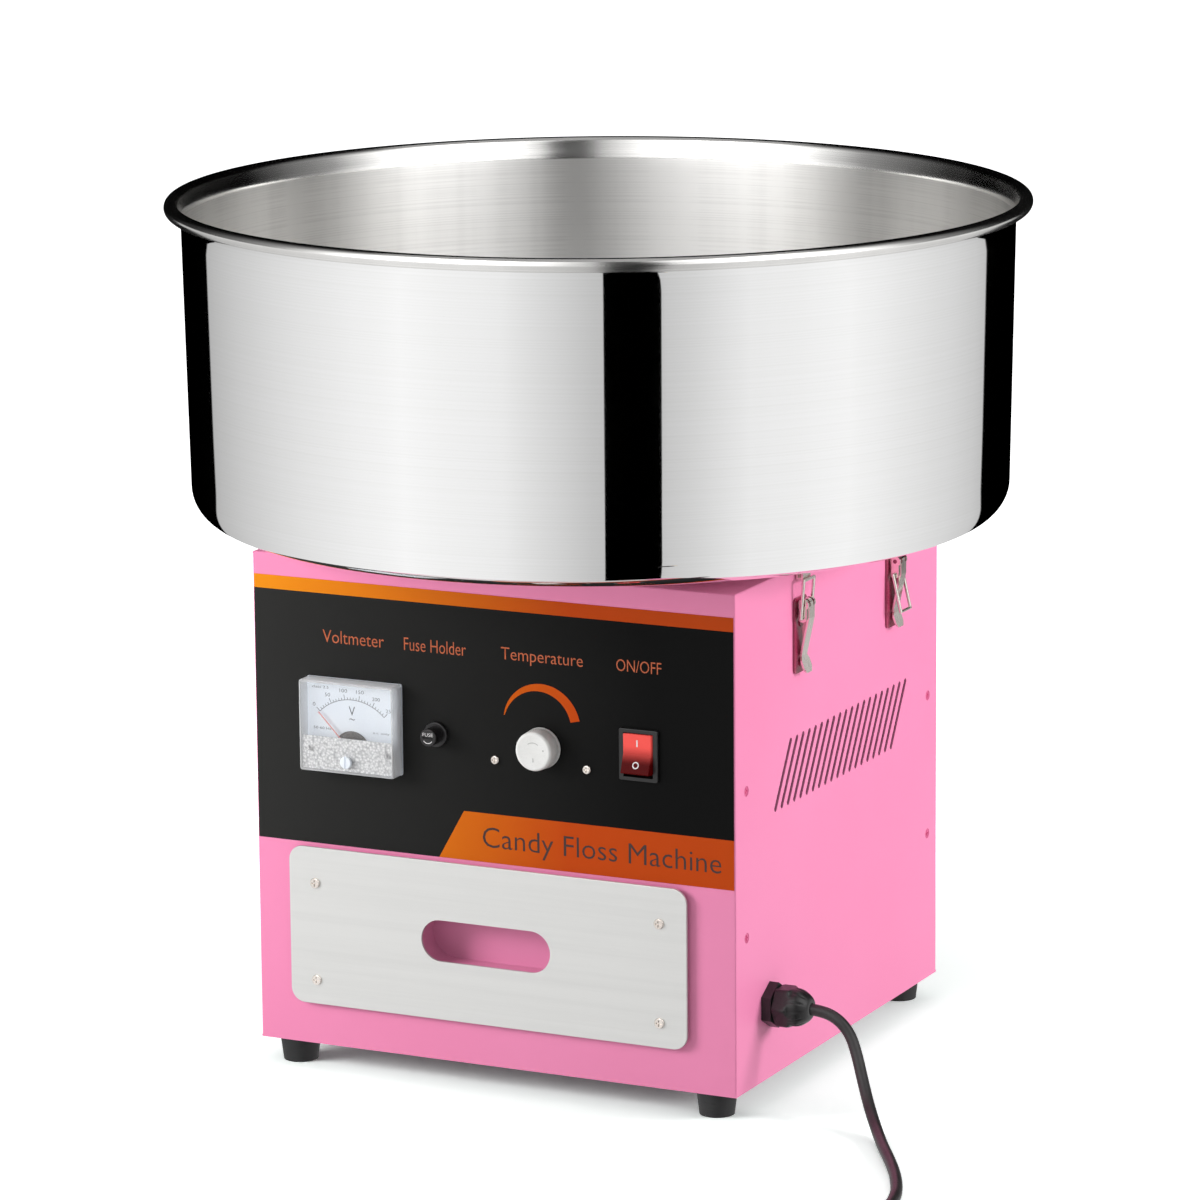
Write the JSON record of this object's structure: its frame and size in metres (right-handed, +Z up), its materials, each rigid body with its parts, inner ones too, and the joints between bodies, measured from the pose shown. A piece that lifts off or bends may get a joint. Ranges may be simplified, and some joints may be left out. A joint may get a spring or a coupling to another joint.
{
  "type": "cotton candy machine",
  "caption": "Table-top cotton candy machine: square sheet-metal cabinet with meter, fuse, heat knob, rocker switch and drawer under a wide polished steel bowl with a spinning head.",
  "frame": {"origin": "on the table under the bowl's axis, which is the cabinet's centre line", "axes": "+Z up, front with the controls towards -Y, right side with the cable gland towards +X"},
  "size_m": [0.684, 0.705, 0.5186],
  "materials": {
    "pink_paint": "semi-gloss powder coat",
    "pink_screws": "painted over",
    "black_rubber": "moulded",
    "black_film": "satin printed film",
    "orange_film": "satin printed film",
    "meter_white": "moulded and printed",
    "meter_dark": "matt",
    "needle_red": "painted",
    "clear_cover": "clear moulded plastic",
    "pebbled_trim": "pebbled translucent",
    "black_plastic": "moulded nylon",
    "fuse_glass": "clear",
    "white_plastic": "moulded",
    "steel": "stamped, plated",
    "rose_paint": "dark rose gloss paint",
    "zinc_steel": "zinc plated",
    "board_green": "board with parts",
    "red_rocker": "moulded, translucent",
    "brushed_plate": "fine brushed",
    "bowl_steel": "polished stainless steel",
    "head_aluminium": "spun",
    "element_steel": "heat-stained",
    "motor_paint": "painted",
    "stator_iron": "laminated core and windings",
    "bearing_steel": "ground",
    "ring_brass": "turned",
    "brush_plastic": "pressed laminate",
    "cord_rubber": "moulded"
  },
  "bodies": {
    "cabinet": {"front_panel": "pink_paint", "back_panel": "pink_paint", "side_panel_right": "pink_paint", "side_panel_left": "pink_paint", "top_plate": "pink_paint", "base_plate": "pink_paint", "feet": "black_rubber", "cabinet_screws": "pink_screws", "film_black": "black_film", "film_orange": "orange_film", "meter_case": "meter_white", "meter_dial": "meter_white", "meter_movement": "meter_dark", "meter_cover": "clear_cover", "meter_trim": "pebbled_trim", "fuse_holder": "black_plastic", "heat_controller": "board_green", "controller_screws": "steel", "switch_housing": "black_plastic", "drawer_runners": "zinc_steel", "bowl_pads": "black_rubber", "latch_bases": "rose_paint", "heat_shield": "head_aluminium", "motor_stator": "stator_iron", "motor_housing": "motor_paint", "motor_bearings": "bearing_steel", "motor_bracket": "zinc_steel", "brush_holder": "brush_plastic", "gland_body": "black_plastic", "gland_nut": "black_plastic", "cord_tube": "cord_rubber", "cord_coil": "cord_rubber", "plug": "cord_rubber"},
    "spinner": {"head_pan": "head_aluminium", "heater_ring": "element_steel", "head_screen": "head_aluminium", "head_cap": "head_aluminium", "motor_shaft": "steel", "motor_rotor": "stator_iron", "slip_rings": "ring_brass"},
    "bowl": {"bowl": "bowl_steel", "bowl_hooks": "steel"},
    "drawer": {"drawer_front": "brushed_plate", "drawer_tray": "pink_paint", "drawer_screws": "steel"},
    "meter_needle": {"meter_needle": "needle_red"},
    "meter_zero_screw": {"meter_zero_screw": "meter_white"},
    "fuse_carrier": {"fuse_link": "fuse_glass"},
    "fuse_cap": {"fuse_cap": "black_plastic"},
    "knob": {"knob": "white_plastic", "knob_shaft": "steel"},
    "switch_rocker": {"switch_rocker": "red_rocker"},
    "latch_lever_right_front": {"latch_lever_right_front": "steel"},
    "latch_bail_right_front": {"latch_bail_right_front": "steel"},
    "latch_lever_right_rear": {"latch_lever_right_rear": "steel"},
    "latch_bail_right_rear": {"latch_bail_right_rear": "steel"},
    "latch_lever_left_front": {"latch_lever_left_front": "steel"},
    "latch_bail_left_front": {"latch_bail_left_front": "steel"},
    "latch_lever_left_rear": {"latch_lever_left_rear": "steel"},
    "latch_bail_left_rear": {"latch_bail_left_rear": "steel"}
  },
  "joints": [
    {"name": "head_spin", "type": "hinge", "parent": "cabinet", "child": "spinner", "pos_m": [0, 0, 0.3], "axis": [0, 0, 1], "continuous": true},
    {"name": "bowl_lift", "type": "slide", "parent": "cabinet", "child": "bowl", "axis": [0, 0, 1], "range_m": [0, 0.25]},
    {"name": "drawer_pull", "type": "slide", "parent": "cabinet", "child": "drawer", "axis": [0, -1, 0], "range_m": [0, 0.19]},
    {"name": "needle_swing", "type": "hinge", "parent": "cabinet", "child": "meter_needle", "pos_m": [-0.0898, -0.157, 0.2002], "axis": [0, 1, 0], "range_deg": [0, 88]},
    {"name": "zero_turn", "type": "hinge", "parent": "cabinet", "child": "meter_zero_screw", "pos_m": [-0.0898, -0.163, 0.1949], "axis": [0, 1, 0], "range_deg": [-30, 30]},
    {"name": "fuse_pull", "type": "slide", "parent": "cabinet", "child": "fuse_carrier", "axis": [0, -1, 0], "range_m": [0, 0.035]},
    {"name": "fuse_cap_turn", "type": "hinge", "parent": "fuse_carrier", "child": "fuse_cap", "pos_m": [-0.0354, -0.15, 0.2149], "axis": [0, 1, 0], "range_deg": [-90, 0]},
    {"name": "knob_turn", "type": "hinge", "parent": "cabinet", "child": "knob", "pos_m": [0.034, -0.157, 0.2134], "axis": [0, 1, 0], "range_deg": [0, 270]},
    {"name": "rocker_press", "type": "hinge", "parent": "cabinet", "child": "switch_rocker", "pos_m": [0.097, -0.1483, 0.2151], "axis": [1, 0, 0], "range_deg": [0, 20]},
    {"name": "open_latch_lever_right_front", "type": "hinge", "parent": "cabinet", "child": "latch_lever_right_front", "pos_m": [0.163, -0.06, 0.293], "axis": [0, -1, 0], "range_deg": [0, 125]},
    {"name": "swing_latch_bail_right_front", "type": "hinge", "parent": "latch_lever_right_front", "child": "latch_bail_right_front", "pos_m": [0.1625, -0.06, 0.285], "axis": [0, -1, 0], "range_deg": [-163, 0]},
    {"name": "open_latch_lever_right_rear", "type": "hinge", "parent": "cabinet", "child": "latch_lever_right_rear", "pos_m": [0.163, 0.077, 0.293], "axis": [0, -1, 0], "range_deg": [0, 125]},
    {"name": "swing_latch_bail_right_rear", "type": "hinge", "parent": "latch_lever_right_rear", "child": "latch_bail_right_rear", "pos_m": [0.1625, 0.077, 0.285], "axis": [0, -1, 0], "range_deg": [0, 45]},
    {"name": "open_latch_lever_left_front", "type": "hinge", "parent": "cabinet", "child": "latch_lever_left_front", "pos_m": [-0.163, -0.06, 0.293], "axis": [0, 1, 0], "range_deg": [0, 125]},
    {"name": "swing_latch_bail_left_front", "type": "hinge", "parent": "latch_lever_left_front", "child": "latch_bail_left_front", "pos_m": [-0.1625, -0.06, 0.285], "axis": [0, 1, 0], "range_deg": [-163, 0]},
    {"name": "open_latch_lever_left_rear", "type": "hinge", "parent": "cabinet", "child": "latch_lever_left_rear", "pos_m": [-0.163, 0.077, 0.293], "axis": [0, 1, 0], "range_deg": [0, 125]},
    {"name": "swing_latch_bail_left_rear", "type": "hinge", "parent": "latch_lever_left_rear", "child": "latch_bail_left_rear", "pos_m": [-0.1625, 0.077, 0.285], "axis": [0, 1, 0], "range_deg": [0, 45]}
  ],
  "couplings": [
    {"joint": "swing_latch_bail_right_front", "follows": "open_latch_lever_right_front", "ratio": -1.3},
    {"joint": "swing_latch_bail_left_front", "follows": "open_latch_lever_left_front", "ratio": -1.3}
  ]
}
